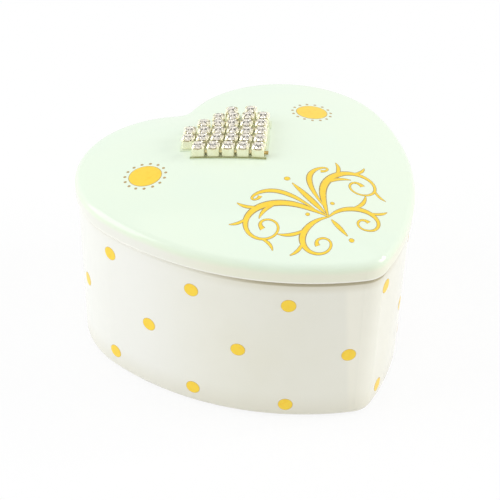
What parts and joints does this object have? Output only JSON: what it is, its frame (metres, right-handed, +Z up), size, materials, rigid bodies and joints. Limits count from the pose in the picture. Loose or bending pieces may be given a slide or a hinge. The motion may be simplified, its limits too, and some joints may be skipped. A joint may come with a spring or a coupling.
{
  "type": "keepsake box",
  "caption": "Heart-shaped glazed ceramic keepsake box with a loose domed lid, a locating flange and a small heart of rhinestone chain glued on the lid.",
  "frame": {"origin": "middle of the heart's outline, on the surface that the box stands on", "axes": "+Z up, +Y from the heart's point to its notch, +X across the two lobes"},
  "size_m": [0.07, 0.068, 0.0454],
  "materials": {
    "cream_glaze": "glossy cream-white glaze with fired gold dots",
    "mint_glaze": "glossy pale mint glaze with a white edge and fired gold ornament",
    "clear_adhesive": "clear set adhesive",
    "plated_cup": "bright silver plate",
    "chain_link": "polished brass",
    "crystal": "foil-backed cut glass"
  },
  "bodies": {
    "bowl": {"box_body": "cream_glaze"},
    "lid_with_trim": {"cups_row_1": "plated_cup", "cups_row_2": "plated_cup", "cups_row_3": "plated_cup", "cups_row_4": "plated_cup", "cups_row_5": "plated_cup", "cups_row_6": "plated_cup", "glue_bed": "clear_adhesive", "lid": "mint_glaze", "links_row_1": "chain_link", "links_row_2": "chain_link", "links_row_3": "chain_link", "links_row_4": "chain_link", "links_row_5": "chain_link", "links_row_6": "chain_link", "stones_row_1": "crystal", "stones_row_2": "crystal", "stones_row_3": "crystal", "stones_row_4": "crystal", "stones_row_5": "crystal", "stones_row_6": "crystal"}
  },
  "joints": [
    {"name": "lid_lift", "type": "slide", "parent": "bowl", "child": "lid_with_trim", "axis": [0, 0, 1], "range_m": [0, 0.05]}
  ]
}
